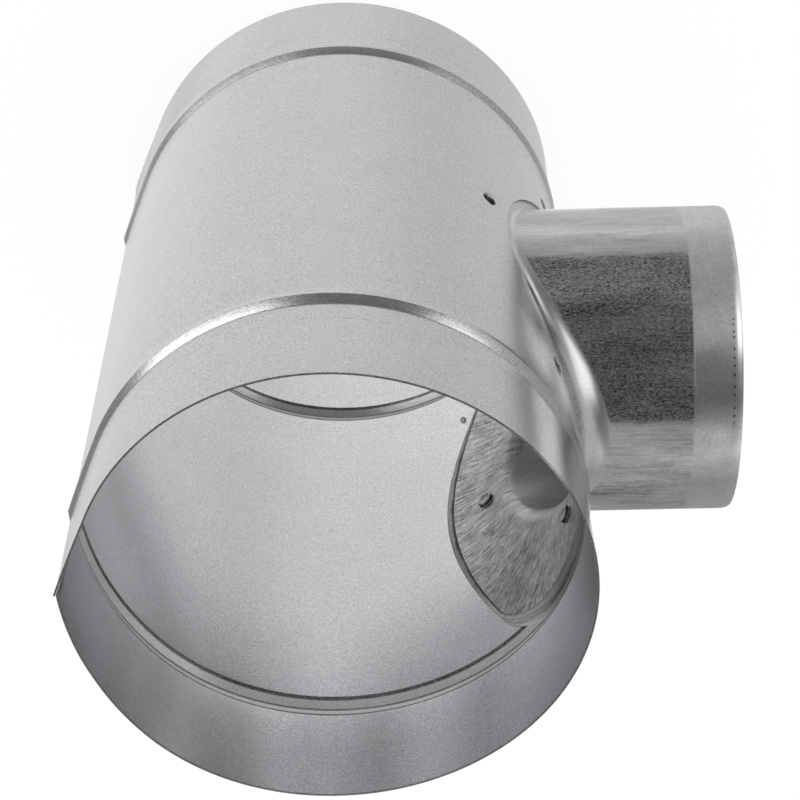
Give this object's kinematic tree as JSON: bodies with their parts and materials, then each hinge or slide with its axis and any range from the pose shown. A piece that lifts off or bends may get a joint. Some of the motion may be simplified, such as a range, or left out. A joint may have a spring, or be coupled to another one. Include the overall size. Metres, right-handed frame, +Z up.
{
  "type": "reducing duct tee",
  "caption": "Straight round sheet-metal duct with a raised bead near each end and a smaller round collar standing out at right angles from the middle of its side.",
  "frame": {"origin": "centre of the run tube's lower rim, on the run tube's axis", "axes": "+Z up along the run tube, +X along the branch collar, out of its mouth; the seam is on the -X side"},
  "size_m": [0.2065, 0.1526, 0.254],
  "materials": {
    "tube_steel": "galvanised, matt",
    "saddle_steel": "galvanised, drawn, streaked",
    "sealant": "matt"
  },
  "bodies": {
    "root": {"run_tube": "tube_steel", "branch_saddle": "saddle_steel", "flange_sealant": "sealant"}
  },
  "joints": []
}
